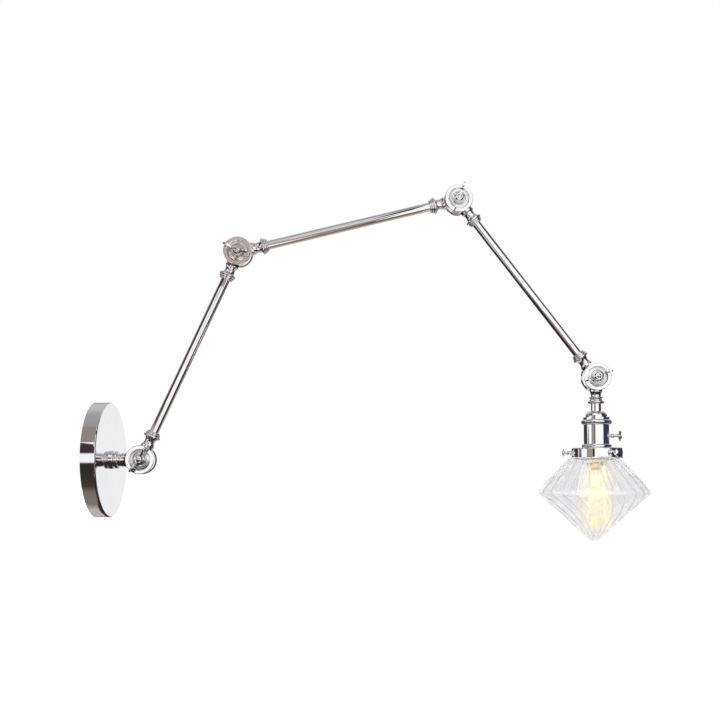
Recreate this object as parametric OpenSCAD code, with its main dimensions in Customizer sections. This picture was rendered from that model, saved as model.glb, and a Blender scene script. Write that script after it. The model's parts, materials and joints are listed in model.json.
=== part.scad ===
// Swing arm wall sconce: a round wall plate, a swivelling stem, three equal arms
// joined by four wing-nut knuckles, a keyed lamp holder, a clear glass shade and a bulb.
//
// Frame: the origin is on the wall at the centre of the plate's back. +X points away
// from the wall and +Z points up. The arms lie in the XZ plane, every knuckle turns
// about a line along Y, and the wing nuts face -Y.

/* [Arms] */
// Distance between the two pivots of an arm
arm_length = 297; // [240:1:380]
// Outside diameter of an arm's tube
tube_od = 11.4; // [10.4:0.1:11.6]
// Bore of an arm's tube
tube_id = 8.4; // [7:0.1:8.6]
// Angle of the first arm above the horizontal
arm_1_angle = 65.2; // [50:0.1:80]
// Angle of the second arm above the horizontal
arm_2_angle = 14; // [0:0.1:30]
// Angle of the third arm above the horizontal
arm_3_angle = -52.2; // [-70:0.1:-40]
// Angle of the lamp holder above the horizontal; -90 hangs straight down
head_angle = -90; // [-110:1:-80]

/* [Wall plate] */
// Diameter of the wall plate
plate_d = 148; // [130:1:180]
// Depth of the wall plate's rim
plate_depth = 18; // [17:0.5:24]
// Thickness of the plate's sheet metal
plate_sheet = 1.4; // [1:0.1:2]
// Distance between the two wall screws
wall_screw_spacing = 88.9; // [60:0.1:96]

/* [Stem and knuckles] */
// Distance from the plate's face to the first pivot
stem_length = 37; // [37:0.5:50]
// Diameter of a knuckle's rim
knuckle_d = 36.8; // [36:0.1:38]
// Span of a wing nut across its wings
wing_span = 38; // [34:1:44]

/* [Lamp holder] */
// Distance from the last pivot to the bottom of the glass shade
head_length = 218; // [217:0.2:224]
// Diameter of the lamp holder's barrel
holder_d = 33.6; // [33:0.1:34]
// Diameter of the cup that holds the glass shade
cup_d = 67.2; // [66:0.1:68]
// Depth of that cup
cup_depth = 13.6; // [12.4:0.2:14]

/* [Glass shade] */
// Largest diameter of the glass shade
shade_d = 145; // [138:1:150]
// Thickness of the glass
shade_wall = 2.6; // [2:0.1:3]
// How far the glass is pushed off the holder's axis, towards the wall, by its three screws
shade_shift = 4; // [0:0.25:4]

/* [Bulb] */
// Diameter of the bulb
bulb_d = 43; // [40:1:47]

/* [Hidden] */
$fn = 96;

chrome = [0.80, 0.81, 0.83];
steel = [0.62, 0.63, 0.65];
brass = [0.80, 0.62, 0.28];
porcelain = [0.93, 0.92, 0.89];
clear = [0.90, 0.93, 0.95, 0.35];
cable_white = [0.88, 0.88, 0.86];
fibre = [0.12, 0.12, 0.13];
glow = [1.00, 0.72, 0.25];

// Clearances: a gap between pieces that move on each other, and one between fixed pieces
run = 0.05;
seat = 0.03;

// Pivots, numbered from the wall outwards, and the direction in which each one's arm leaves
pivot_1 = [plate_depth + stem_length, 0, 0];
pivot_2 = pivot_1 + arm_length * heading(arm_1_angle);
pivot_3 = pivot_2 + arm_length * heading(arm_2_angle);
pivot_4 = pivot_3 + arm_length * heading(arm_3_angle);
pivots = [pivot_1, pivot_2, pivot_3, pivot_4];
arm_angles = [arm_1_angle, arm_2_angle, arm_3_angle];

// Knuckle half: a cup with a central boss, closed by a web and edged by a flat rim.
// Depths are measured from the knuckle's middle plane.
rim_depth = 10.2;
rim_edge = 0.8;
step_r = 13.9;
shell_r = knuckle_d / 2 - 1;
hollow_r = shell_r - 2.8;
shell_gap = 0.3;
web_inside = 5.4;
web_outside = 8;
boss_r = 8;
boss_depth = 0.65;
ring_r = 9.7;
ring_bead_r = 1.5;
bolt_r = 3;
friction_washer_t = 2 * (boss_depth - run);
spring_washer_t = 0.95;

// Neck between a knuckle and a tube, measured outwards from the pivot
neck_r = 8.4;
neck_root = 14;
neck_clear_r = knuckle_d / 2 + 1.6;
waist_at = 26;
waist_depth = 1.9;
waist_curve = 9;
collar_at = 33.2;
tube_seat = 31;
neck_end = 39.8;
wire_bore_r = 3.2;
wire_r = 2.3;
wire_start = 21;
tube_r = tube_od / 2;

// Wing nut rest angles about the knuckle axes
wing_angles = [57, -23, 70, 21];
wing_t = 2.2;
nut_base = web_outside + 2 * run + spring_washer_t;

// Swivel at the plate
nipple_r = 5;
nipple_bore_r = 3.4;
nipple_start = 8;
nipple_end = 30;
collar_t = 3.1;
collar_r = 11.8;
swivel_gap = 0.1;

// Bracket behind the plate
bracket_w = 24;
bracket_t = 2;
tab_gap = 4.2;
tab_length = 14;
plate_screw_x = 9;
slot_r = 2.6;
slot_length = 12;

// Lamp holder, measured down from the last pivot
head_tube_r = 6.7;
cap_top = 45.2;
cap_dome = 7.2;
cap_step = 53.6;
cap_bead_at = 59.9;
cap_end = 63.4;
barrel_end = 89.4;
flange_at = 91.4;
cup_top = 93.9;
cup_end = cup_top + cup_depth;
skirt_end = 113.8;
insulator_top = 65.2;
insulator_end = 81;
key_at = 78;
barrel_r = holder_d / 2;
screw_shell_r = 13.8;
cup_r = cup_d / 2;
screw_height = 100.8;
screw_angles = [66, 186, 306];

// Glass shade outline: centre and radius of each round corner, measured down from the last pivot
glass_top = 98;
glass_neck_r = 27.8;
glass_fillet = 2;
shoulder_at = cup_end + 0.4;
shoulder_curve = 3.2;
shoulder_c = [32.6, shoulder_at + shoulder_curve];
equator_curve = 6;
equator_c = [shade_d / 2 - equator_curve, 152.5];
tip_curve = 4;
tip_c = [3.4, head_length - tip_curve];

// Bulb, measured down from the last pivot
bulb_r = bulb_d / 2;
bulb_wall = 0.9;
bulb_neck_r = 12.2;
bulb_start = 115;
bulb_taper_start = 117;
bulb_taper_end = 155;
bulb_round_at = head_length - 12.5 - bulb_r;
cap_r = 13.1;
cap_start = 86.6;
cap_rim = 118;
filament_top = 126;
filament_bottom = 196;
filament_strands = 10;

// ---------------------------------------------------------------- helpers

function heading(a) = [cos(a), 0, sin(a)];
function reversed(list) = [for (i = [len(list) - 1 : -1 : 0]) list[i]];

// Points of an arc about c from angle a0 to a1
function arc(c, r, a0, a1, n) = [
    for (i = [0 : n]) let (a = a0 + (a1 - a0) * i / n) c + r * [cos(a), sin(a)]
];

// Angle of the outward normal of the line that touches two circles on the same side
function shared_normal(c1, r1, c2, r2) =
    let (d = c2 - c1) atan2(d[1], d[0]) - acos((r1 - r2) / norm(d));

// Turns local +Z to a direction in the XZ plane, given as an angle above +X
module toward(a) {
    rotate([0, 90 - a, 0]) children();
}

// Turns local +Z to a knuckle's front (side 1, which is -Y) or rear (side -1)
module to_side(side) {
    rotate([side * 90, 0, 0]) children();
}

// Local frame of the head: +Z points from the last pivot to the shade, +X away from the wall
module head() {
    translate(pivot_4) rotate([0, -90 - head_angle, 0]) rotate([180, 0, 0]) children();
}

// Local frame of the wall side: +Z points away from the wall along the stem
module from_wall() {
    rotate([0, 90, 0]) children();
}

module tube(outer_r, inner_r, length) {
    difference() {
        cylinder(r = outer_r, h = length);
        translate([0, 0, -1]) cylinder(r = inner_r, h = length + 2);
    }
}

// ---------------------------------------------------------------- wall plate

module wall_plate() {
    corner = 2.2;
    r = plate_d / 2;
    outer = concat([[r, 0]], arc([r - corner, plate_depth - corner], corner, 0, 90, 6));
    inner = concat(
        [[r - plate_sheet, 0]],
        arc([r - corner, plate_depth - corner], corner - plate_sheet, 0, 90, 6)
    );
    hole_r = nipple_r + seat;
    color(chrome) difference() {
        from_wall() rotate_extrude() polygon(concat(
            outer,
            [[hole_r, plate_depth], [hole_r, plate_depth - plate_sheet]],
            reversed(inner)
        ));
        for (s = [-1, 1])
            translate([plate_screw_x, 0, 0]) rotate([s == 1 ? 0 : 180, 0, 0])
                cylinder(r = 2.05, h = plate_d);
    }
}

module mounting_bracket() {
    reach = plate_d / 2 - plate_sheet - tab_gap;
    color(steel) difference() {
        union() {
            translate([0, -bracket_w / 2, -reach]) cube([bracket_t, bracket_w, 2 * reach]);
            for (s = [-1, 1])
                translate([0, -7, s == 1 ? reach - bracket_t : -reach])
                    cube([tab_length, 14, bracket_t]);
        }
        for (s = [-1, 1]) {
            translate([0, 0, s * wall_screw_spacing / 2]) wall_slot();
            translate([plate_screw_x, 0, s * (reach - bracket_t - 1)])
                rotate([s == 1 ? 0 : 180, 0, 0]) cylinder(r = 2.03, h = bracket_t + 2);
        }
        translate([-1, 8, 22]) rotate([0, 90, 0]) cylinder(r = 1.78, h = bracket_t + 2);
    }
}

module wall_slot() {
    end = slot_length / 2 - slot_r;
    for (s = [-1, 1])
        translate([-1, 0, s * end]) rotate([0, 90, 0]) cylinder(r = slot_r, h = bracket_t + 2);
    translate([-1, -slot_r, -end]) cube([bracket_t + 2, 2 * slot_r, 2 * end]);
}

// Socket-head set screw from the plate's rim into a bracket tab
module plate_screw(side) {
    start = plate_d / 2 - plate_sheet - tab_gap - bracket_t - 0.5;
    length = plate_d / 2 - 0.4 - start;
    color(steel) translate([plate_screw_x, 0, 0]) rotate([side == 1 ? 0 : 180, 0, 0])
        translate([0, 0, start]) difference() {
            cylinder(r = 2, h = length);
            translate([0, 0, length - 2]) cylinder(r = 1.15, h = 3, $fn = 6);
        }
}

module ground_screw() {
    color("seagreen") translate([0.3, 8, 22]) rotate([0, 90, 0]) {
        cylinder(r = 1.75, h = 4);
        translate([0, 0, 2]) difference() {
            cylinder(r = 4, h = 3);
            translate([-5, -0.5, 2]) cube([10, 1, 2]);
        }
    }
}

module nipple() {
    color(brass) from_wall() translate([0, 0, nipple_start])
        tube(nipple_r, nipple_bore_r, nipple_end - nipple_start);
}

module nipple_washer() {
    color(steel) from_wall() translate([0, 0, plate_depth - plate_sheet - 0.8])
        tube(8.8, nipple_r + seat, 0.8);
}

module nipple_nut() {
    height = 5;
    color(brass) from_wall() translate([0, 0, plate_depth - plate_sheet - 0.8 - height])
        difference() {
            cylinder(r = 8.1, h = height, $fn = 6);
            translate([0, 0, -1]) cylinder(r = nipple_r + seat, h = height + 2);
        }
}

module base_collar() {
    edge = 1;
    color(chrome) from_wall() translate([0, 0, plate_depth]) rotate_extrude() polygon(concat(
        [[nipple_r + seat, 0], [collar_r, 0]],
        arc([collar_r - edge, collar_t - edge], edge, 0, 90, 4),
        [[nipple_r + seat, collar_t]]
    ));
}

// ---------------------------------------------------------------- knuckles

// Cup of one knuckle half, opening towards the middle plane at z = 0
module shell_half(bore_r) {
    rotate_extrude() {
        polygon(concat(
            [[bore_r, boss_depth], [boss_r, boss_depth], [boss_r, web_inside]],
            [[hollow_r, web_inside], [hollow_r, shell_gap / 2], [shell_r, shell_gap / 2]],
            [[shell_r, rim_depth - 4.6], [knuckle_d / 2, rim_depth - 3.6]],
            arc([knuckle_d / 2 - rim_edge, rim_depth - rim_edge], rim_edge, 0, 90, 4),
            [[step_r, rim_depth], [step_r - 2.6, web_outside], [bore_r, web_outside]]
        ));
        translate([ring_r, web_outside]) circle(r = ring_bead_r);
    }
}

// Waisted neck about the tube's axis, with three rings at the tube's end
module arm_neck() {
    rotate_extrude() {
        difference() {
            translate([0, neck_root]) square([neck_r, collar_at - neck_root]);
            translate([neck_r - waist_depth + waist_curve, waist_at]) circle(r = waist_curve);
        }
        translate([0, collar_at - 1]) square([neck_r - 0.3, 4]);
        translate([0, collar_at]) square([neck_r - 1.1, neck_end - collar_at]);
        translate([neck_r + 0.5, collar_at]) circle(r = 1.9);
        translate([neck_r - 0.3, collar_at + 3]) circle(r = 1.45);
        translate([neck_r - 1.1, collar_at + 5.3]) circle(r = 1.15);
    }
}

// The head's neck ends in one flared rim
module head_neck() {
    rotate_extrude() {
        difference() {
            translate([0, neck_root]) square([neck_r, collar_at - neck_root + 1]);
            translate([neck_r - waist_depth + waist_curve, waist_at - 1]) circle(r = waist_curve);
        }
        translate([neck_r - 0.6, waist_at + 1.5]) circle(r = 1.2);
        translate([0, collar_at]) square([neck_r + 0.2, 2.6]);
        translate([neck_r + 0.4, collar_at + 0.4]) circle(r = 2);
    }
}

// The stem's neck is short and carries one large bead next to the plate
module stem_neck() {
    end = stem_length - collar_t - swivel_gap;
    rotate_extrude() {
        difference() {
            translate([0, neck_root]) square([neck_r + 0.4, end - neck_root]);
            translate([neck_r + 6, waist_at + 0.2]) circle(r = 6.2);
        }
        translate([neck_r + 0.2, end - 3.1]) circle(r = 2.8);
    }
}

// One half of a knuckle on the given side, with its neck (the child) pointing at angle a
module knuckle_half(side, a, bore_r, seat_r, seat_at) {
    difference() {
        union() {
            to_side(side) shell_half(bore_r);
            difference() {
                toward(a) children();
                to_side(-side) translate([0, 0, -shell_gap / 2])
                    cylinder(r = neck_clear_r, h = 20);
                to_side(side) cylinder(r = hollow_r + 1, h = web_inside + 0.5);
            }
        }
        toward(a) translate([0, 0, boss_r + 2]) cylinder(r = wire_bore_r, h = 40);
        toward(a) translate([0, 0, seat_at]) cylinder(r = seat_r, h = 20);
    }
}

// Half that leads on to the next piece; it turns on the bolt
module knuckle_front(i) {
    color(chrome) translate(pivots[i])
        knuckle_half(1, arm_angles[i], bolt_r + run, tube_r + seat, tube_seat) arm_neck();
}

// Half at the far end of an arm; it holds the bolt
module knuckle_rear(i) {
    color(chrome) translate(pivots[i])
        knuckle_half(-1, arm_angles[i - 1] + 180, bolt_r + seat, tube_r + seat, tube_seat) arm_neck();
}

module knuckle_bolt(i) {
    head_r = 7.6;
    head_h = 3.2;
    ball_r = (head_r * head_r + head_h * head_h) / (2 * head_h);
    end_h = 1.2;
    end_ball_r = (bolt_r * bolt_r + end_h * end_h) / (2 * end_h);
    color(chrome) translate(pivots[i]) {
        to_side(-1) intersection() {
            translate([0, 0, web_outside + head_h - ball_r]) sphere(r = ball_r);
            translate([0, 0, web_outside]) cylinder(r = head_r + 1, h = head_h + 1);
        }
        to_side(1) translate([0, 0, -web_outside - 0.5])
            cylinder(r = bolt_r, h = web_outside + 0.5 + nut_base + 8);
        to_side(1) intersection() {
            translate([0, 0, nut_base + 8 + end_h - end_ball_r]) sphere(r = end_ball_r);
            translate([0, 0, nut_base + 7.9]) cylinder(r = bolt_r, h = end_h + 1);
        }
    }
}

module friction_washer(i) {
    color(fibre) translate(pivots[i]) to_side(1) translate([0, 0, -friction_washer_t / 2])
        tube(boss_r, bolt_r + run, friction_washer_t);
}

// Split spring washer under the wing nut
module spring_washer(i) {
    color(steel) translate(pivots[i]) to_side(1)
        translate([0, 0, web_outside + run]) difference() {
            tube(5.8, bolt_r + 0.2, spring_washer_t);
            rotate([0, 0, wing_angles[i] + 60]) translate([0, -0.5, -1]) cube([8, 1, 4]);
        }
}

module wing_nut(i) {
    hub_r = 7;
    hub_h = 8;
    tip_r = 3.9;
    tip = [wing_span / 2 - tip_r, 9.8];
    color(chrome) translate(pivots[i]) to_side(1) translate([0, 0, nut_base])
        rotate([0, 0, wing_angles[i]]) difference() {
            union() {
                rotate_extrude() {
                    polygon([
                        [0, 0], [hub_r, 0], [hub_r, 1.6], [6, 3], [5.7, 6.2], [4.2, hub_h], [0, hub_h]
                    ]);
                    translate([hub_r - 1.2, 2]) circle(r = 1.5);
                }
                for (m = [0, 1]) mirror([m, 0, 0]) rotate([90, 0, 0])
                    translate([0, 0, -wing_t / 2]) linear_extrude(wing_t) {
                        polygon([
                            [3.5, 2.2], [9, 3.2], tip + [2.3, -3.1], tip + [-1.7, 3.5],
                            [7.4, 9], [3.5, 7.4]
                        ]);
                        translate(tip) circle(r = tip_r);
                    }
            }
            translate([0, 0, -1]) cylinder(r = bolt_r + run, h = hub_h + 2);
        }
}

// ---------------------------------------------------------------- stem and arms

module stem() {
    color(chrome) translate(pivot_1) difference() {
        knuckle_half(-1, 180, bolt_r + seat, nipple_r + run, stem_length + plate_depth - nipple_end - 0.4)
            stem_neck();
        translate([nipple_end - 3.5 - pivot_1[0], 0, 0]) rotate([180, 0, 0])
            cylinder(r = 1.52, h = 14);
    }
}

module stem_set_screw() {
    length = 3.4;
    color(steel) translate([nipple_end - 3.5, 0, 0]) rotate([180, 0, 0])
        translate([0, 0, nipple_r + 2 * run]) difference() {
            cylinder(r = 1.48, h = length);
            translate([0, 0, length - 1.4]) cylinder(r = 0.85, h = 2, $fn = 6);
        }
}

module arm_tube(i) {
    color(chrome) translate(pivots[i]) toward(arm_angles[i]) translate([0, 0, tube_seat + seat])
        tube(tube_r, tube_id / 2, arm_length - 2 * (tube_seat + seat));
}

// Straight run of the cable inside an arm
module arm_wire(i) {
    color(cable_white) translate(pivots[i]) toward(arm_angles[i])
        translate([0, 0, wire_start]) cylinder(r = wire_r, h = arm_length - 2 * wire_start);
}

// ---------------------------------------------------------------- lamp holder

module knuckle_4_front() {
    color(chrome) translate(pivot_4)
        knuckle_half(1, head_angle, bolt_r + run, head_tube_r + seat, tube_seat) head_neck();
}

module head_tube() {
    color(chrome) head() translate([0, 0, tube_seat + seat])
        tube(head_tube_r, 4.6, cap_top + 4 - tube_seat - seat);
}

// Cap of the lamp holder: a dome, a step and a round bead
module holder_cap() {
    bead = 3.5;
    color(chrome) head() difference() {
        rotate_extrude() {
            polygon(concat(
                [[0, cap_top]],
                arc([cap_dome, cap_top + cap_dome], cap_dome, -90, 0, 8),
                [
                    [cap_dome * 2, cap_top + cap_dome], [13.4, cap_top + cap_dome],
                    [13.4, cap_step], [17.3, cap_step], [17.3, cap_bead_at],
                    [barrel_r + 0.3, cap_bead_at], [barrel_r + 0.3, cap_end], [0, cap_end]
                ]
            ));
            translate([barrel_r, cap_bead_at]) circle(r = bead);
        }
        translate([0, 0, cap_top - 1]) cylinder(r = head_tube_r + seat, h = 5.05);
        translate([0, 0, cap_top + 3]) cylinder(r = 4.6, h = 6);
        translate([0, 0, cap_top + 5]) cylinder(r = 11.5, h = 6);
        translate([0, 0, cap_step + 1]) cylinder(r = 15.3, h = 12);
    }
}

// Barrel: a lip inside the cap, the straight body, a flange and the skirt that carries the cup
module holder_barrel() {
    wall = 0.9;
    lip_r = 15.25;
    skirt_r = 15.1;
    color(chrome) head() difference() {
        rotate_extrude() {
            polygon([
                [lip_r - wall, cap_step + 3], [lip_r, cap_step + 3], [lip_r, cap_end + run],
                [barrel_r, cap_end + run], [barrel_r, flange_at], [17.5, flange_at],
                [17.5, cup_top - 0.1], [skirt_r, cup_top - 0.1], [skirt_r, skirt_end - 2.5],
                [14.6, skirt_end], [skirt_r - 1.2, skirt_end], [skirt_r - 1.2, barrel_end],
                [barrel_r - wall, barrel_end], [barrel_r - wall, cap_end + 1],
                [lip_r - wall, cap_end + 1]
            ]);
            translate([17.6, flange_at]) circle(r = 2.4);
            for (z = [cup_top + 7 : 1.6 : skirt_end - 3])
                translate([skirt_r - 0.4, z]) circle(r = 0.62);
        }
        translate([10, 0, key_at]) rotate([0, 90, 0]) cylinder(r = 2.4 + run, h = 12);
    }
}

module holder_insulator() {
    color(porcelain) head() difference() {
        translate([0, 0, insulator_top]) cylinder(r = 13.9, h = insulator_end - insulator_top);
        translate([0, 0, insulator_top - 1]) cylinder(r = 8.5, h = 7);
        translate([0, 0, insulator_end - 1.2]) cylinder(r = 3.6, h = 3);
        translate([9, 0, key_at]) rotate([0, 90, 0]) cylinder(r = 2.6, h = 12);
    }
}

module holder_contact() {
    color(brass) head() translate([0, 0, insulator_end - 1.2 + seat]) cylinder(r = 3.5, h = 2.5);
}

module lamp_screw_shell() {
    color(brass) head() translate([0, 0, insulator_end + seat])
        tube(screw_shell_r, screw_shell_r - 0.45, 28);
}

module switch_key() {
    disc_r = 7.2;
    color(chrome) head() translate([10.2, 0, key_at]) rotate([0, 90, 0]) rotate_extrude() {
        polygon([
            [0, 0], [2.4, 0], [2.4, barrel_r - 9.4], [1.7, barrel_r - 9.2], [1.7, 17.6],
            [2.3, 18.6], [3.6, 20.2], [disc_r, 21], [disc_r, 22.2], [4, 22.8], [0, 23]
        ]);
        translate([0.4, 11.6]) square([2.3, 2]);
        translate([0, 11.4]) intersection() {
            circle(r = 3);
            translate([0, -4]) square([4, 8]);
        }
    }
}

// ---------------------------------------------------------------- shade fitting

module shade_cup() {
    wall = 1.1;
    edge = 1.6;
    boss_end = cup_r + 3;
    color(chrome) head() difference() {
        union() {
            rotate_extrude() polygon(concat(
                [[15.2, cup_top + wall], [15.2, cup_top]],
                arc([cup_r - edge, cup_top + edge], edge, -90, 0, 5),
                [[cup_r, cup_end - 1.4], [cup_r + 0.5, cup_end - 0.7], [cup_r, cup_end]],
                [[cup_r - wall, cup_end]],
                reversed(arc([cup_r - edge, cup_top + edge], edge - wall, -90, 0, 5))
            ));
            for (a = screw_angles)
                translate([0, 0, screw_height]) rotate([0, 90, a])
                    translate([0, 0, cup_r - 0.6]) cylinder(r = 2.9, h = boss_end - cup_r + 0.6);
        }
        for (a = screw_angles)
            translate([0, 0, screw_height]) rotate([0, 90, a]) translate([0, 0, cup_r - 4])
                cylinder(r = 1.5 + run, h = 10);
    }
}

// Knurled ring that clamps the cup to the skirt
module cup_lock_ring() {
    notches = 24;
    height = 4.4;
    color(brass) head() translate([0, 0, cup_top + 1.1 + run]) difference() {
        cylinder(r = 19.6, h = height);
        translate([0, 0, -1]) cylinder(r = 15.2, h = height + 2);
        for (i = [0 : notches - 1])
            rotate([0, 0, i * 360 / notches]) translate([19.9, 0, -1])
                cylinder(r = 0.9, h = height + 2);
    }
}

// Distance from the holder's axis to the glass's neck in direction a
function neck_reach(a) =
    sqrt(glass_neck_r * glass_neck_r - pow(shade_shift * sin(a), 2)) - shade_shift * cos(a);

// Thumbscrew with a bead and a small round head, at angle a about the head's axis
module shade_screw(a) {
    tip = neck_reach(a) + 0.15;
    shoulder = cup_r + 3.1 - tip;
    color(chrome) head() translate([0, 0, screw_height]) rotate([0, 90, a])
        translate([0, 0, tip]) rotate_extrude() polygon([
            [0, 0], [0.9, 0], [1.5, 0.8], [1.5, shoulder], [2.9, shoulder + 0.1],
            [3.2, shoulder + 0.8], [2.9, shoulder + 1.7], [1.7, shoulder + 2.6],
            [1.6, shoulder + 3.6], [3, shoulder + 5.6],
            [6, shoulder + 6.6], [6, shoulder + 7.8], [3, shoulder + 8.4], [0, shoulder + 8.6]
        ]);
}

// ---------------------------------------------------------------- glass shade and bulb

// Outline of the shade, moved inwards by d, from the rim down to the tip
function shade_outline(d) =
    let (
        upper = shared_normal(shoulder_c, shoulder_curve, equator_c, equator_curve),
        lower = shared_normal(equator_c, equator_curve, tip_c, tip_curve)
    )
    concat(
        [[glass_neck_r - d, glass_top]],
        reversed(arc(
            [glass_neck_r + glass_fillet, shoulder_at - glass_fillet], glass_fillet + d, 90, 180, 5
        )),
        arc(shoulder_c, shoulder_curve - d, -90, upper, 5),
        arc(equator_c, equator_curve - d, upper, lower, 10),
        arc(tip_c, tip_curve - d, lower, 90, 5),
        [[0, tip_c[1] + tip_curve - d]]
    );

module glass_shade() {
    color(clear) head() translate([-shade_shift, 0, 0]) rotate_extrude()
        polygon(concat(shade_outline(0), reversed(shade_outline(shade_wall))));
}

// Outline of the bulb's glass, moved inwards by d: neck, S-shaped taper, straight side, round end
function bulb_outline(d) = concat(
    [[bulb_neck_r - d, bulb_start]],
    [
        for (t = [0 : 0.1 : 1])
            let (s = t * t * (3 - 2 * t))
            [
                bulb_neck_r + (bulb_r - bulb_neck_r) * s - d,
                bulb_taper_start + (bulb_taper_end - bulb_taper_start) * t
            ]
    ],
    arc([0, bulb_round_at], bulb_r - d, 0, 90, 10)
);

module bulb_glass() {
    color(clear) head() rotate_extrude()
        polygon(concat(bulb_outline(0), reversed(bulb_outline(bulb_wall))));
}

module bulb_cap() {
    pitch = 3.6;
    color(brass) head() rotate_extrude() {
        polygon([
            [4.2, cap_start - 2], [9, cap_start - 2], [12.4, cap_start], [12.4, cap_start + 3],
            [12.9, cap_rim - 4], [12.9, cap_rim], [12.3, cap_rim], [12.3, cap_start + 3],
            [8.5, cap_start], [4.2, cap_start]
        ]);
        for (i = [0 : 4]) translate([12.55, cap_start + 3.2 + i * pitch]) circle(r = cap_r - 12.5);
    }
}

module bulb_contact() {
    color(brass) head() translate([0, 0, cap_start - 3]) {
        cylinder(r = 3, h = 1.2);
        translate([0, 0, 1]) cylinder(r = 4.1, h = 3);
    }
}

// Glass stem and centre rod that carry the filament
module bulb_stem() {
    color(clear) head() rotate_extrude() polygon([
        [0, cap_rim - 2], [10.4, cap_rim - 2], [10.4, cap_rim - 1], [4.5, cap_rim + 5],
        [3.6, filament_top - 2], [3.6, filament_top + 2], [1.4, filament_top + 4],
        [1.4, filament_bottom - 4], [3, filament_bottom - 3], [3, filament_bottom - 1],
        [0, filament_bottom]
    ]);
}

// Filament: long strands that zigzag between a small top ring and a wider bottom ring
module bulb_filament() {
    r = 0.5;
    ends = [
        for (i = [0 : filament_strands - 1])
            let (a = i * 360 / filament_strands, low = i % 2 == 1)
            [
                (low ? 12.5 : 5.5) * cos(a),
                (low ? 12.5 : 5.5) * sin(a),
                low ? filament_bottom : filament_top
            ]
    ];
    color(glow) head() for (i = [0 : filament_strands - 1])
        strand(ends[i], ends[(i + 1) % filament_strands], r);
}

// Round bar from p to q with a ball at p
module strand(p, q, r) {
    d = q - p;
    translate(p) {
        sphere(r = r * 1.3, $fn = 24);
        rotate([0, acos(d[2] / norm(d)), atan2(d[1], d[0])])
            cylinder(r = r, h = norm(d), $fn = 24);
    }
}

wall_plate();
mounting_bracket();
plate_screw(1);  // plate_screw_top
plate_screw(-1);  // plate_screw_bottom
ground_screw();
nipple();
nipple_washer();
nipple_nut();
base_collar();
stem();
stem_set_screw();
knuckle_bolt(0);  // knuckle_1_bolt
friction_washer(0);  // knuckle_1_friction_washer
spring_washer(0);  // knuckle_1_spring_washer
wing_nut(0);  // knuckle_1_wing_nut
knuckle_front(0);  // knuckle_1_front
arm_tube(0);  // arm_1_tube
arm_wire(0);  // arm_1_wire
knuckle_rear(1);  // knuckle_2_rear
knuckle_bolt(1);  // knuckle_2_bolt
friction_washer(1);  // knuckle_2_friction_washer
spring_washer(1);  // knuckle_2_spring_washer
wing_nut(1);  // knuckle_2_wing_nut
knuckle_front(1);  // knuckle_2_front
arm_tube(1);  // arm_2_tube
arm_wire(1);  // arm_2_wire
knuckle_rear(2);  // knuckle_3_rear
knuckle_bolt(2);  // knuckle_3_bolt
friction_washer(2);  // knuckle_3_friction_washer
spring_washer(2);  // knuckle_3_spring_washer
wing_nut(2);  // knuckle_3_wing_nut
knuckle_front(2);  // knuckle_3_front
arm_tube(2);  // arm_3_tube
arm_wire(2);  // arm_3_wire
knuckle_rear(3);  // knuckle_4_rear
knuckle_bolt(3);  // knuckle_4_bolt
friction_washer(3);  // knuckle_4_friction_washer
spring_washer(3);  // knuckle_4_spring_washer
wing_nut(3);  // knuckle_4_wing_nut
knuckle_4_front();
head_tube();
holder_cap();
holder_barrel();
holder_insulator();
holder_contact();
lamp_screw_shell();
shade_cup();
cup_lock_ring();
switch_key();
shade_screw(screw_angles[0]);  // shade_screw_1
shade_screw(screw_angles[1]);  // shade_screw_2
shade_screw(screw_angles[2]);  // shade_screw_3
glass_shade();
bulb_glass();
bulb_cap();
bulb_contact();
bulb_stem();
bulb_filament();
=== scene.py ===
# Looks for the swing arm wall sconce: materials, the pieces that carry more detail than the CAD
# frame (grooved glass, bulb, filament, thread) and the studio. Lengths are in metres, apart from
# those in the head's own frame, which are in millimetres.
import json
import math

import bpy
from mathutils import Matrix, Vector


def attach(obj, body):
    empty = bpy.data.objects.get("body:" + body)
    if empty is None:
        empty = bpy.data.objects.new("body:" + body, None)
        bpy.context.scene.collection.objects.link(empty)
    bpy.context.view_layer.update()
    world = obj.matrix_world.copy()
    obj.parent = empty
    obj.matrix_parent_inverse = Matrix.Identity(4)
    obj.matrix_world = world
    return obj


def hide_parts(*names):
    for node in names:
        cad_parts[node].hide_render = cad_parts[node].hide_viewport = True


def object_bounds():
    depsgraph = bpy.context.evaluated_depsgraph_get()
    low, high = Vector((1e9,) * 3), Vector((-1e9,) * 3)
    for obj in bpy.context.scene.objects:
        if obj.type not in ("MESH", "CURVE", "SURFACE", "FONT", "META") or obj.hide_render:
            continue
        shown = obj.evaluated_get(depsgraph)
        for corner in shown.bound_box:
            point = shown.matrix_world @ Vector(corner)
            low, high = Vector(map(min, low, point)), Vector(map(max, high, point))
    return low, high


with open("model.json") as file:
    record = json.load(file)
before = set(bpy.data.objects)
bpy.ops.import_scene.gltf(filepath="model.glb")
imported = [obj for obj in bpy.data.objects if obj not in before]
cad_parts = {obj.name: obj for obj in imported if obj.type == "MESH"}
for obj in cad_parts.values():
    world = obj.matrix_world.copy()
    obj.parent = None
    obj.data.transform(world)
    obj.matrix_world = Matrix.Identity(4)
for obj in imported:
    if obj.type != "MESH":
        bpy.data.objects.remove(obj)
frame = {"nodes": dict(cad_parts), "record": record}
cad_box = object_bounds()
MM = 0.001
TAU = 2 * math.pi


# ---------------------------------------------------------------- object helpers

def add(name, data):
    """A new object in the scene."""
    obj = bpy.data.objects.new(name, data)
    bpy.context.scene.collection.objects.link(obj)
    return obj


def hide_from(obj, *rays):
    """Makes an object unseen by kinds of ray: camera, diffuse, glossy, transmission or shadow."""
    for kind in rays:
        setattr(obj, "visible_" + kind, False)


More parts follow.
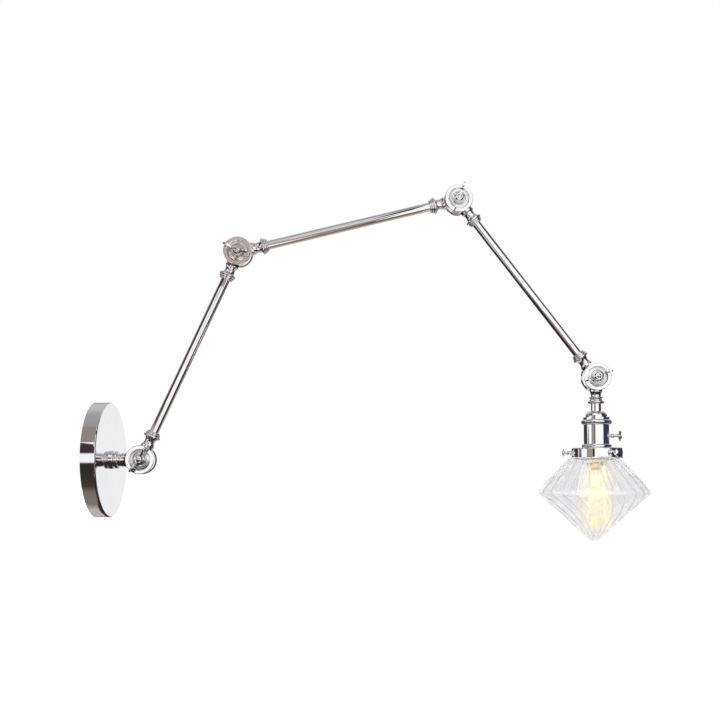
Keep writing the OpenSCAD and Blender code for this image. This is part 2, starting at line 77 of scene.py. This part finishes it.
def shade_smooth(mesh):
    mesh.polygons.foreach_set("use_smooth", [True] * len(mesh.polygons))


# ---------------------------------------------------------------- node helpers

def new_material(name):
    mat = bpy.data.materials.new(name)
    mat.use_nodes = True
    tree = mat.node_tree
    shader = tree.nodes["Principled BSDF"]
    return mat, tree, shader


def node(tree, kind, values=None, **settings):
    """A node with settings set as attributes and values set on its inputs; a socket is linked."""
    made = tree.nodes.new(kind)
    for key, value in settings.items():
        setattr(made, key, value)
    for key, value in (values or {}).items():
        if isinstance(value, bpy.types.NodeSocket):
            tree.links.new(value, made.inputs[key])
        else:
            made.inputs[key].default_value = value
    return made


def ramp(tree, factor, stops):
    """Colour ramp with (position, colour or grey) stops."""
    made = tree.nodes.new("ShaderNodeValToRGB")
    band = made.color_ramp
    while len(band.elements) > 1:
        band.elements.remove(band.elements[-1])
    for i, (at, colour) in enumerate(stops):
        stop = band.elements[0] if i == 0 else band.elements.new(at)
        stop.position = at
        stop.color = (*colour, 1) if isinstance(colour, tuple) else (colour, colour, colour, 1)
    tree.links.new(factor, made.inputs["Fac"])
    return made.outputs["Color"]


def noise(tree, scale, detail=3, rough=0.5):
    place = tree.nodes.new("ShaderNodeTexCoord").outputs["Object"]
    values = {"Vector": place, "Scale": scale, "Detail": detail, "Roughness": rough}
    return node(tree, "ShaderNodeTexNoise", values).outputs[0]


def bump(tree, shader, height, distance):
    made = node(tree, "ShaderNodeBump", {"Height": height, "Distance": distance, "Strength": 1.0})
    tree.links.new(made.outputs[0], shader.inputs["Normal"])


# ---------------------------------------------------------------- materials

def metal(name, light, dark, rough, wave, smudge_scale=45.0, fine=60.0):
    """Metal with smudged roughness, a slight colour drift and a faint waviness of the polish."""
    mat, tree, shader = new_material(name)
    shader.inputs["Metallic"].default_value = 1.0
    cloud = noise(tree, smudge_scale, 5, 0.6)
    tree.links.new(ramp(tree, cloud, [(0.30, dark), (0.62, light)]), shader.inputs["Base Color"])
    tree.links.new(ramp(tree, cloud, [(0.35, rough[1]), (0.70, rough[0])]), shader.inputs["Roughness"])
    bump(tree, shader, noise(tree, fine, 1, 0.3), wave)
    return mat


def plastic(name, light, dark, rough, grain_scale, grain, coat=0.0):
    """Fibre, glaze or lacquer with a fine grain, under a clear coat if coat is set."""
    mat, tree, shader = new_material(name)
    shader.inputs["Coat Weight"].default_value = coat
    cloud = noise(tree, grain_scale, 4, 0.6)
    tree.links.new(ramp(tree, cloud, [(0.30, dark), (0.70, light)]), shader.inputs["Base Color"])
    tree.links.new(ramp(tree, cloud, [(0.30, rough[0]), (0.70, rough[1])]), shader.inputs["Roughness"])
    bump(tree, shader, cloud, grain)
    return mat


def glass(name, tint, edge_tint, ior, wave_scale, shine, body=1.0, glow=((1.0, 1.0, 1.0), 0.0)):
    """Clear glass; its colour drifts a little between two tints, and its surface is slightly wavy.
    body is how much of it isn't see-through without bending, and glow is a colour and a strength."""
    mat, tree, shader = new_material(name)
    shader.inputs["Transmission Weight"].default_value = 1.0
    shader.inputs["Specular IOR Level"].default_value = shine
    shader.inputs["Alpha"].default_value = body
    shader.inputs["Emission Color"].default_value = (*glow[0], 1)
    shader.inputs["Emission Strength"].default_value = glow[1]
    shader.inputs["IOR"].default_value = ior
    cloud = noise(tree, 30.0, 2)
    tree.links.new(ramp(tree, cloud, [(0.35, edge_tint), (0.65, tint)]), shader.inputs["Base Color"])
    tree.links.new(ramp(tree, cloud, [(0.3, 0.0), (0.8, 0.012)]), shader.inputs["Roughness"])
    bump(tree, shader, noise(tree, wave_scale, 2, 0.4), 0.00002)
    return mat


def glowing(name, core, edge, strength):
    """Hot wire: brighter where it faces outwards, redder towards its edges."""
    mat, tree, shader = new_material(name)
    facing = node(tree, "ShaderNodeLayerWeight", {"Blend": 0.4}).outputs["Facing"]
    tree.links.new(ramp(tree, facing, [(0.15, core), (0.75, edge)]), shader.inputs["Emission Color"])
    shader.inputs["Emission Strength"].default_value = strength
    scale = ramp(tree, noise(tree, 400.0), [(0.3, (0.5, 0.3, 0.1)), (0.7, (0.9, 0.7, 0.3))])
    tree.links.new(scale, shader.inputs["Base Color"])
    shader.inputs["Roughness"].default_value = 0.5
    return mat


def braid(name, light, dark):
    """Woven cable jacket: two crossed sets of threads."""
    mat, tree, shader = new_material(name)
    place = tree.nodes.new("ShaderNodeTexCoord").outputs["Object"]
    waves = []
    for angle in (0.7, -0.7):
        turned = node(tree, "ShaderNodeMapping", {"Vector": place, "Rotation": (0.0, angle, 0.0)}).outputs[0]
        waves.append(node(tree, "ShaderNodeTexWave", {"Vector": turned, "Scale": 260.0}).outputs["Fac"])
    both = node(tree, "ShaderNodeMath", {0: waves[0], 1: waves[1]}, operation="MAXIMUM").outputs[0]
    tree.links.new(ramp(tree, both, [(0.2, dark), (0.8, light)]), shader.inputs["Base Color"])
    shader.inputs["Roughness"].default_value = 0.6
    bump(tree, shader, both, 0.0003)
    return mat


MATERIALS = {
    "chrome": metal(
        "polished_chrome", (0.93, 0.93, 0.935), (0.87, 0.86, 0.86), rough=(0.02, 0.05), wave=0.00001),
    "cast_chrome": metal(
        "cast_chrome", (0.92, 0.92, 0.925), (0.84, 0.83, 0.83), rough=(0.03, 0.08), wave=0.0006,
        smudge_scale=60.0, fine=320.0),
    "plate_chrome": metal(
        "plate_chrome", (0.87, 0.87, 0.90), (0.84, 0.84, 0.875), rough=(0.03, 0.09), wave=0.00002,
        smudge_scale=30.0),
    "steel": metal(
        "zinc_steel", (0.62, 0.63, 0.66), (0.42, 0.43, 0.45), rough=(0.22, 0.40), wave=0.00006,
        smudge_scale=90.0, fine=700.0),
    "brass": metal(
        "satin_brass", (0.80, 0.60, 0.26), (0.52, 0.36, 0.14), rough=(0.18, 0.34), wave=0.00005,
        smudge_scale=80.0, fine=600.0),
    "bulb_brass": metal(
        "bulb_cap_brass", (0.86, 0.68, 0.34), (0.60, 0.40, 0.18), rough=(0.14, 0.28), wave=0.00004,
        smudge_scale=120.0, fine=500.0),
    "ground_green": plastic(
        "green_lacquer", (0.06, 0.36, 0.14), (0.04, 0.26, 0.10), rough=(0.20, 0.35), grain_scale=300.0,
        grain=0.00003, coat=0.6),
    "fibre": plastic(
        "black_fibre", (0.045, 0.045, 0.05), (0.02, 0.02, 0.022), rough=(0.55, 0.75), grain_scale=900.0,
        grain=0.00008),
    "cable": braid("cable_jacket", (0.84, 0.83, 0.80), (0.52, 0.51, 0.49)),
    "porcelain": plastic(
        "glazed_porcelain", (0.93, 0.92, 0.88), (0.86, 0.84, 0.79), rough=(0.08, 0.16), grain_scale=140.0,
        grain=0.00003, coat=0.5),
    "shade_glass": glass(
        "shade_glass", (0.998, 0.998, 1.0), (0.985, 0.985, 0.995), ior=1.45, wave_scale=90.0, shine=0.12,
        body=0.62),
    # The envelope's warm glow is painted light: it stands in for the lit filament's light filling the glass.
    "bulb_glass": glass(
        "bulb_glass", (1.0, 0.99, 0.925), (1.0, 0.985, 0.90), ior=1.35, wave_scale=60.0, shine=0.2,
        glow=((1.0, 0.86, 0.50), 0.035)),
    "filament": glowing("hot_filament", (1.0, 0.74, 0.19), (1.0, 0.42, 0.07), 1.4),
}
NODES_OF_SLOT = {
    "steel": ["mounting_bracket", "plate_screw_top", "plate_screw_bottom", "nipple_washer", "stem_set_screw"],
    "brass": ["nipple", "nipple_nut", "holder_contact", "lamp_screw_shell", "cup_lock_ring"],
    "bulb_brass": ["bulb_cap", "bulb_contact"],
    "plate_chrome": ["wall_plate"],
    "ground_green": ["ground_screw"],
    "porcelain": ["holder_insulator"],
    "shade_glass": ["glass_shade"],
    "bulb_glass": ["bulb_glass", "bulb_stem"],
    "filament": ["bulb_filament"],
    "cable": ["arm_1_wire", "arm_2_wire", "arm_3_wire"],
}
SLOT_OF_NODE = {name: slot for slot, names in NODES_OF_SLOT.items() for name in names}
SLOT_OF_ENDING = {
    "friction_washer": "fibre", "spring_washer": "steel", "wing_nut": "cast_chrome", "bolt": "cast_chrome",
}
CREASE = math.radians(32)  # faces that meet at more than this show an edge

for name, obj in frame["nodes"].items():
    slot = SLOT_OF_NODE.get(name, "chrome")
    for ending, shared_slot in SLOT_OF_ENDING.items():
        if name.endswith(ending):
            slot = shared_slot
    obj.data.materials.clear()
    obj.data.materials.append(MATERIALS[slot])
    shade_smooth(obj.data)
    obj.data.set_sharp_from_angle(angle=CREASE)


# ---------------------------------------------------------------- mesh helpers

def mesh_object(name, verts, faces, slot, body):
    mesh = bpy.data.meshes.new(name)
    mesh.from_pydata(verts, [], faces)
    mesh.validate()
    shade_smooth(mesh)
    obj = add(name, mesh)
    mesh.materials.append(MATERIALS[slot])
    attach(obj, body)
    return obj


def lathe(name, profile, around, slot, body, place, spot=None):
    """Turns a closed outline of (r, h) points about the local Z axis. spot(r, h, k, i) may give the
    radius and angle of vertex k round point i. A point with r = 0 becomes one vertex."""
    verts, rings = [], []
    for i, (r, h) in enumerate(profile):
        if r == 0:
            rings.append([len(verts)] * around)
            verts.append(place @ Vector((0, 0, h)))
            continue
        rings.append(list(range(len(verts), len(verts) + around)))
        for k in range(around):
            radius, angle = spot(r, h, k, i) if spot else (r, TAU * k / around)
            verts.append(place @ Vector((radius * math.cos(angle), radius * math.sin(angle), h)))
    faces = []
    for low, high in zip(rings, rings[1:] + rings[:1]):
        for k in range(around):
            m = (k + 1) % around
            corner = [low[k], low[m], high[m], high[k]]
            face = [v for n, v in enumerate(corner) if v not in corner[:n]]
            if len(face) > 2:
                faces.append(face)
    return mesh_object(name, verts, faces, slot, body)


def arc(centre, r, start, stop, steps):
    """Points of an arc between two angles in degrees."""
    angles = [math.radians(start + (stop - start) * i / steps) for i in range(steps + 1)]
    return [(centre[0] + r * math.cos(a), centre[1] + r * math.sin(a)) for a in angles]


def shared_normal(c1, r1, c2, r2):
    """Angle in degrees at which a straight line touches both circles."""
    dx, dy = c2[0] - c1[0], c2[1] - c1[1]
    return math.degrees(math.atan2(dy, dx) - math.acos((r1 - r2) / math.hypot(dx, dy)))


def refine(points, step):
    """The same outline with points no further apart than step."""
    out = [points[0]]
    for p, q in zip(points, points[1:]):
        n = max(1, math.ceil(math.hypot(q[0] - p[0], q[1] - p[1]) / step))
        out += [(p[0] + (q[0] - p[0]) * i / n, p[1] + (q[1] - p[1]) * i / n) for i in range(1, n + 1)]
    return out


def clamp(value):
    return min(1.0, max(0.0, value))


# ---------------------------------------------------------------- head frame

JOINTS = {joint["name"]: joint for joint in frame["record"]["behaviour"]["joints"]}
pivot_4 = Vector(JOINTS["knuckle_4_turn"]["pos_m"])
switch_axis = Vector(JOINTS["switch_turn"]["axis"])
lean = math.atan2(-switch_axis.z, switch_axis.x)
# Local frame of the head, in millimetres: +Z points from the last pivot to the shade, +X away
# from the wall
HEAD = (Matrix.Translation(pivot_4) @ Matrix.Rotation(lean, 4, "Y") @ Matrix.Rotation(math.pi, 4, "X")
        @ Matrix.Scale(MM, 4))
FROM_HEAD = HEAD.inverted()


def head_box(name):
    """Lowest and highest corner of a CAD node in the head's frame."""
    points = [FROM_HEAD @ vertex.co for vertex in frame["nodes"][name].data.vertices]
    return (Vector([min(p[k] for p in points) for k in range(3)]),
            Vector([max(p[k] for p in points) for k in range(3)]))


# ---------------------------------------------------------------- shade

cup_end = head_box("shade_cup")[1].z
shade_low, shade_high = head_box("glass_shade")
shade_r = (shade_high.y - shade_low.y) / 2
shade_top, shade_tip = shade_low.z, shade_high.z
SHADE = HEAD @ Matrix.Translation(((shade_low.x + shade_high.x) / 2, 0, 0))

EQUATOR_AT = 152.5
GLASS = 2.4  # thickness
RIBS = 24
FIRST_RIB = math.radians(7)
TWIST_UPPER, TWIST_LOWER = math.radians(-4), math.radians(-22)
GROOVE = math.radians(1.9)  # half a groove's width
GROOVE_DEPTH = 0.9
# Where one rib's vertices are: -1 to 1 is the groove, and 1 to 1 + PLAIN the glass up to the next one
STEPS = [-1.0, -0.75, -0.5, -0.25, 0.0, 0.25, 0.5, 0.75, 1.0, 1.9, 3.1, 4.2]
PLAIN = 4.2


def shade_outline(d):
    """The glass's outer outline from its neck to its tip, moved inwards by d."""
    neck_r, fillet, wall_curve, eq_curve, tip_curve = 27.8, 2.0, 3.2, 6.0, 4.0
    shoulder_at = cup_end + 0.4
    shoulder = (32.6, shoulder_at + wall_curve)
    equator = (shade_r - eq_curve, EQUATOR_AT)
    tip = (3.4, shade_tip - tip_curve)
    upper = shared_normal(shoulder, wall_curve, equator, eq_curve)
    lower = shared_normal(equator, eq_curve, tip, tip_curve)
    points = [(neck_r - d, shade_top)]
    points += reversed(arc((neck_r + fillet, shoulder_at - fillet), fillet + d, 90, 180, 6))
    points += arc(shoulder, wall_curve - d, -90, upper, 6)
    points += arc(equator, eq_curve - d, upper, lower, 12)
    points += arc(tip, tip_curve - d, lower, 90, 8)
    return points


def twist(h):
    """Turn of the grooves at depth h, growing from the shoulder to the tip."""
    if h <= EQUATOR_AT:
        return TWIST_UPPER * max(0.0, (h - cup_end) / (EQUATOR_AT - cup_end))
    t = (h - EQUATOR_AT) / (shade_tip - EQUATOR_AT)
    return TWIST_UPPER + TWIST_LOWER * t * (2 - t)


outer = refine(shade_outline(0), 1.8) + [(0, shade_tip)]
inner = refine(shade_outline(GLASS), 1.8) + [(0, shade_tip - GLASS)]


def grooved(r, h, k, i):
    """Twisted grooves in the outside of the shade, which fade out at its shoulder and its tip."""
    rib, step = divmod(k, len(STEPS))
    at = STEPS[step]
    half = GROOVE * (1.0 + 0.5 * clamp((45 - r) / 45))
    away = at * half if abs(at) <= 1 else half + (at - 1) * (TAU / RIBS - 2 * half) / PLAIN
    angle = TAU * rib / RIBS + away + twist(h) + FIRST_RIB
    if i >= len(outer):
        return r, angle
    fade = clamp((h - cup_end - 1) / 8) * clamp((r - 4) / 14)
    across = (1 + math.cos(math.pi * min(1.0, abs(at)))) / 2
    return r - GROOVE_DEPTH * fade * across, angle


shade = lathe("swirled_glass_shade", outer + list(reversed(inner)), RIBS * len(STEPS), "shade_glass", "head",
              SHADE, grooved)
hide_from(shade, "shadow")
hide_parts("glass_shade")


# ---------------------------------------------------------------- bulb

def bulb_outline(d):
    """The envelope's outline from its neck to its tip, moved inwards by d."""
    low, high = head_box("bulb_glass")
    bulb_r, top, end = (high.y - low.y) / 2, low.z, high.z
    neck_r, taper_start, taper_end, taper_steps = 12.2, top + 2, top + 40, 24
    points = [(neck_r - d, top)]
    for i in range(taper_steps + 1):
        t = i / taper_steps
        s = t * t * (3 - 2 * t)
        points.append((neck_r + (bulb_r - neck_r) * s - d, taper_start + (taper_end - taper_start) * t))
    points += arc((0, end - bulb_r), bulb_r - d, 0, 88, 20)
    return points + [(0, end - d)]


envelope = bulb_outline(0) + list(reversed(bulb_outline(0.9)))
bulb = lathe("bulb_envelope", envelope, 96, "bulb_glass", "head", HEAD)
hide_from(bulb, "shadow")
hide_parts("bulb_glass")


def tube_along(points, r, sides):
    """Vertices and faces of a closed round tube through points."""
    verts, faces = [], []
    count = len(points)
    side = None
    for i, p in enumerate(points):
        ahead = (points[min(i + 1, count - 1)] - points[max(i - 1, 0)]).normalized()
        if side is None:
            side = ahead.orthogonal().normalized()
        side = (side - ahead * side.dot(ahead)).normalized()
        other = ahead.cross(side)
        for k in range(sides):
            a = TAU * k / sides
            verts.append(p + r * (math.cos(a) * side + math.sin(a) * other))
    for i in range(count - 1):
        for k in range(sides):
            m = (k + 1) % sides
            faces.append([i * sides + k, i * sides + m, (i + 1) * sides + m, (i + 1) * sides + k])
    faces.append(list(range(sides))[::-1])
    faces.append([(count - 1) * sides + k for k in range(sides)])
    return verts, faces


def joined_tubes(name, paths, r, slot, body, sides=8):
    """One piece made of a round tube along each path in the head's frame."""
    verts, faces = [], []
    for path in paths:
        v, f = tube_along([HEAD @ p for p in path], r * MM, sides)
        faces += [[n + len(verts) for n in face] for face in f]
        verts += v
    return mesh_object(name, verts, faces, slot, body)


WIRE_R = 0.2
STRANDS = 10
STRAND_STEPS = 16


def outwards(p):
    """Direction from the bulb's axis to a point."""
    return Vector((p.x, p.y, 0)).normalized()


def filament_ends():
    """The turning points of the filament's zigzag, in turn near the stem and near the bulb's end."""
    low, high = head_box("bulb_filament")
    top, bottom = low.z + 0.7, high.z - 0.7
    ends = []
    for i in range(STRANDS):
        a = TAU * i / STRANDS
        r, z = (12.5, bottom) if i % 2 else (5.5, top)
        ends.append(Vector((r * math.cos(a), r * math.sin(a), z)))
    return ends


def strand(p, q):
    """A slightly bowed wire between two turning points."""
    path = []
    for i in range(STRAND_STEPS + 1):
        t = i / STRAND_STEPS
        point = p.lerp(q, t)
        path.append(point + outwards(point) * (0.9 * math.sin(math.pi * t)))
    return path


def hook(p, middle=160):
    """The support that holds the filament at a turning point."""
    foot = Vector((0, 0, p.z + (-3 if p.z > middle else 3)))
    out = outwards(p)
    return [foot + out * 1.3, foot.lerp(p, 0.6) + Vector((0, 0, 0.5)), p - out * 0.3, p + out * 0.5]


ends = filament_ends()
strands = [strand(p, q) for p, q in zip(ends, ends[1:] + ends[:1])]
filament = joined_tubes("filament_wire", strands, WIRE_R, "filament", "head")
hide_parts("bulb_filament")
joined_tubes("filament_supports", [hook(p) for p in ends], WIRE_R, "steel", "head", 6)


# ---------------------------------------------------------------- thread of the bulb's cap

CAP_AROUND = 96
THREAD_PITCH, THREAD_DEPTH = 3.6, 0.5
cap_top, cap_rim = (corner.z for corner in head_box("bulb_cap"))


def threaded(r, h, k, i):
    """Rounded thread on the straight part of the bulb's cap."""
    angle = TAU * k / CAP_AROUND
    start, end = cap_top + 4.5, cap_rim - 4.5
    fade = clamp((h - start) / 2) * clamp((end - h) / 2)
    return r + THREAD_DEPTH * fade * math.cos(TAU * (h / THREAD_PITCH) - angle), angle


wall = refine([(12.45, cap_top + 3.5), (12.5, cap_rim - 4)], 0.4)
cap_outside = [(4.3, cap_top), (9, cap_top), (12.0, cap_top + 2)] + wall
cap_outside += [(12.9, cap_rim - 3.5), (12.9, cap_rim)]
cap_inside = [(12.35, cap_rim), (12.3, cap_rim - 3.5)]
cap_inside += [(r - 0.5, h) for r, h in reversed(wall)] + [(8.6, cap_top + 1.8), (4.3, cap_top + 1.8)]
thread = lathe("bulb_cap_thread", cap_outside + cap_inside, CAP_AROUND, "bulb_brass", "head", HEAD, threaded)
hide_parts("bulb_cap")


# ---------------------------------------------------------------- studio

def staged_sheet(name, corners, mat):
    """A flat sheet of the studio, which isn't part of the object."""
    mesh = bpy.data.meshes.new(name)
    mesh.from_pydata(corners, [], [(0, 1, 2, 3)])
    mesh.materials.append(mat)
    sheet = add(name, mesh)
    return sheet


def upright(x, y, z):
    """Corners of a sheet that faces along Y."""
    return [(x[0], y, z[0]), (x[1], y, z[0]), (x[1], y, z[1]), (x[0], y, z[1])]


def flat(x, y, z):
    """Corners of a sheet that faces along Z."""
    return [(x[0], y[0], z), (x[1], y[0], z), (x[1], y[1], z), (x[0], y[1], z)]


def beside_arm_1(near, far):
    """Corners of a sheet that faces along Y in front of the first arm and runs along it, between two
    distances from its axis: positive to its right and negative to its left."""
    start, end = (Vector(JOINTS[name]["pos_m"]) for name in ("knuckle_1_turn", "knuckle_2_turn"))
    along = (end - start).normalized()
    side = Vector((along.z, 0, -along.x))
    low, high = start.lerp(end, 0.1), start.lerp(end, 0.9)
    ring = [low + side * near, high + side * near, high + side * far, low + side * far]
    return [(point.x, -0.15, point.z) for point in ring]


def make_floor():
    size, below = 30.0, 0.5
    mat, tree, shader = new_material("pale_floor")
    tree.links.new(ramp(tree, noise(tree, 0.8), [(0.3, 0.90), (0.7, 0.93)]), shader.inputs["Base Color"])
    shader.inputs["Roughness"].default_value = 0.9
    shader.inputs["Emission Color"].default_value = (1, 1, 1, 1)
    shader.inputs["Emission Strength"].default_value = 0.9
    corners = flat((-size, size), (-size, size), cad_box[0].z - below)
    hide_from(staged_sheet("studio_floor", corners, mat), "glossy", "transmission")


def make_card(name, corners, colour):
    """A studio card near the object, seen only in the polished metal."""
    mat = bpy.data.materials.new(name)
    mat.use_nodes = True
    tree = mat.node_tree
    tree.nodes.clear()
    light = node(tree, "ShaderNodeEmission", {"Color": (*colour, 1)})
    out = tree.nodes.new("ShaderNodeOutputMaterial")
    tree.links.new(light.outputs[0], out.inputs[0])
    hide_from(staged_sheet(name, corners, mat), "camera", "diffuse", "transmission", "shadow")


MIX_A, MIX_B, MIX_RESULT = 6, 7, 2  # the Mix node's sockets for colours


def make_world():
    """What the metal and the glass see: a white studio with dark flags at its sides, bands in front
    and behind, and a brown ground. The camera itself sees plain white."""
    world = bpy.data.worlds.new("studio")
    bpy.context.scene.world = world
    world.use_nodes = True
    tree = world.node_tree
    tree.nodes.clear()
    where = tree.nodes.new("ShaderNodeTexCoord").outputs["Generated"]
    x, y, z = node(tree, "ShaderNodeSeparateXYZ", {"Vector": where}).outputs

    def calc(kind, a, b=0.0):
        return node(tree, "ShaderNodeMath", {0: a, 1: b}, operation=kind).outputs[0]

    def mix(factor, a, b):
        made = node(tree, "ShaderNodeMix", {"Factor": factor, MIX_A: a, MIX_B: b}, data_type="RGBA")
        return made.outputs[MIX_RESULT]

    azimuth = calc("ARCTAN2", x, calc("MULTIPLY", y, -1.0))
    turn = calc("ADD", calc("DIVIDE", azimuth, TAU), 0.5)
    height = calc("ADD", calc("DIVIDE", calc("ARCSINE", z), math.pi), 0.5)

    def around(stops):
        """Ramp by azimuth in degrees: 0 is the camera's side and 90 away from the wall."""
        return ramp(tree, turn, [(a / 360 + 0.5, c) for a, c in stops])

    def climbing(stops):
        """Ramp by elevation in degrees."""
        return ramp(tree, height, [(e / 180 + 0.5, c) for e, c in stops])

    white, black = 1.05, (0.02, 0.018, 0.018)
    tan, navy, left_dark = (0.36, 0.29, 0.24), (0.035, 0.045, 0.11), (0.05, 0.04, 0.05)
    sides = around([
        (-180, 0.96), (-163, 0.96), (-160, left_dark), (-105, left_dark), (-101, white), (-60, white),
        (-58, tan), (-39, tan), (-37, black), (-23, black), (-20, white), (48, white), (52, navy),
        (154, navy), (157, 0.96), (180, 0.96),
    ])
    front = climbing([
        (-90, (0.26, 0.22, 0.19)), (-62, (0.20, 0.17, 0.14)), (-50, (0.06, 0.045, 0.035)),
        (-16, (0.03, 0.025, 0.022)), (18, (0.05, 0.034, 0.038)), (44, (0.07, 0.05, 0.055)),
        (53, (0.32, 0.32, 0.325)), (90, (0.40, 0.40, 0.405)),
    ])
    rear = climbing([
        (-90, (0.26, 0.22, 0.19)), (-60, (0.56, 0.50, 0.44)), (-30, (0.50, 0.46, 0.42)),
        (-14, (0.30, 0.28, 0.27)), (16, (0.30, 0.30, 0.31)), (40, (0.60, 0.60, 0.62)), (70, 0.5), (90, 0.32),
    ])
    front_band = climbing([(-90, 0.0), (-7, 0.0), (-4, 1.0), (10, 1.0), (13, 0.0), (90, 0.0)])
    rear_band = climbing([(-90, 0.0), (-17, 0.0), (-13, 1.0), (14, 1.0), (20, 0.0), (90, 0.0)])
    behind = ramp(tree, y, [(0.0, 0.0), (0.1, 0.0), (0.4, 1.0), (1.0, 1.0)])
    low_left = calc("MULTIPLY", ramp(tree, calc("MULTIPLY", x, -1.0), [(0.3, 0.0), (0.45, 1.0)]),
                    ramp(tree, calc("MULTIPLY", z, -1.0), [(0.1, 0.0), (0.2, 1.0)]))
    off_band = mix(low_left, mix(behind, front, rear), (0.03, 0.024, 0.028, 1))
    reflected = mix(mix(behind, front_band, rear_band), off_band, sides)

    # Behind glass the studio is white straight ahead, along the line from the camera to the head,
    # and a little grey beside it, so that the glass's edges and grooves show
    ahead = (0.277, 0.960, -0.030)
    through = node(tree, "ShaderNodeVectorMath", {0: where, 1: ahead}, operation="DOT_PRODUCT")
    refracted = ramp(tree, through.outputs["Value"], [
        (0.0, (1.10, 1.10, 1.12)), (0.60, (1.08, 1.08, 1.10)), (0.80, (0.98, 0.98, 1.0)),
        (0.90, (0.82, 0.82, 0.85)), (0.955, (0.76, 0.76, 0.79)), (0.985, 1.02), (1.0, 1.02),
    ])
    rays = tree.nodes.new("ShaderNodeLightPath").outputs
    through_glass = calc("MINIMUM", rays["Transparent Depth"], 1.0)
    seen = mix(rays["Is Transmission Ray"], mix(through_glass, reflected, (1.0, 1.0, 1.02, 1)), refracted)
    plain = calc("MAXIMUM", rays["Is Camera Ray"], rays["Is Diffuse Ray"])
    final = mix(plain, seen, (1.0, 1.0, 1.0, 1))
    background = node(tree, "ShaderNodeBackground", {"Color": final, "Strength": 1.0})
    out = tree.nodes.new("ShaderNodeOutputWorld")
    tree.links.new(background.outputs[0], out.inputs[0])


def make_key_light():
    """One large soft light above the camera's left."""
    data = bpy.data.lights.new("soft_key", "AREA")
    data.shape = "RECTANGLE"
    data.size, data.size_y = 1.6, 1.0
    data.energy = 18
    key = add("soft_key", data)
    key.location = (-0.6, -1.6, 1.9)
    direction = Vector((0.35, 0, 0.1)) - Vector(key.location)
    key.rotation_euler = direction.to_track_quat("-Z", "Y").to_euler()
    hide_from(key, "glossy")


def make_bulb_light():
    """The lit filament's warm light on the metal above it."""
    data = bpy.data.lights.new("filament_light", "POINT")
    data.energy = 0.35
    data.color = (1.0, 0.72, 0.36)
    data.shadow_soft_size = 0.01
    light = add("filament_light", data)
    light.location = HEAD @ Vector((0, 0, 150))
    hide_from(light, "camera", "glossy", "transmission")


def make_camera():
    """The photograph's view; the lens shift stands for its crop."""
    place = Vector((0.3258, -1.1250, -0.0153))
    azimuth, elevation, roll = math.radians(-3.156), math.radians(-1.224), math.radians(-0.322)
    back = Vector((math.sin(azimuth) * math.cos(elevation), -math.cos(azimuth) * math.cos(elevation),
                   math.sin(elevation)))
    data = bpy.data.cameras.new("camera")
    data.lens = 43.03
    data.shift_x, data.shift_y = -0.0544, 0.1276
    data.sensor_width = 36
    camera = add("camera", data)
    camera.matrix_world = (Matrix.Translation(place)
                           @ back.to_track_quat("Z", "Y").to_matrix().to_4x4()
                           @ Matrix.Rotation(roll, 4, "Z"))
    bpy.context.scene.camera = camera


WHITE = (1.05, 1.05, 1.05)
CARDS = {
    "white_card_right": (upright((0.459, 1.13), -0.45, (-0.02, 0.62)), WHITE),
    "white_card_middle": (upright((0.42, 0.62), -0.17, (0.14, 0.60)), WHITE),
    "grey_card_top": (upright((0.10, 0.36), -0.30, (0.34, 0.80)), (0.62, 0.61, 0.62)),
    "warm_card_knuckle": (upright((0.06, 0.235), -0.30, (0.255, 0.43)), (0.50, 0.40, 0.36)),
    "warm_card_arm": (upright((0.16, 0.46), -0.32, (-0.20, 0.30)), (0.36, 0.29, 0.27)),
    "white_card_arm_1_right": (beside_arm_1(0.03, 0.17), WHITE),
    "white_card_arm_1_left": (beside_arm_1(-0.13, -0.03), (1.0, 0.94, 0.94)),
    "grey_card_rim": (upright((-0.03, 0.04), -0.085, (0.03, 0.095)), (0.30, 0.26, 0.25)),
    "dark_card_stem": (flat((0.0, 0.13), (-0.16, 0.10), -0.105), (0.03, 0.026, 0.024)),
}

make_floor()
make_world()
for name, (corners, colour) in CARDS.items():
    make_card(name, corners, colour)
make_key_light()
make_bulb_light()
make_camera()
bpy.context.scene.view_settings.view_transform = "Standard"
bpy.context.scene.view_settings.look = "None"
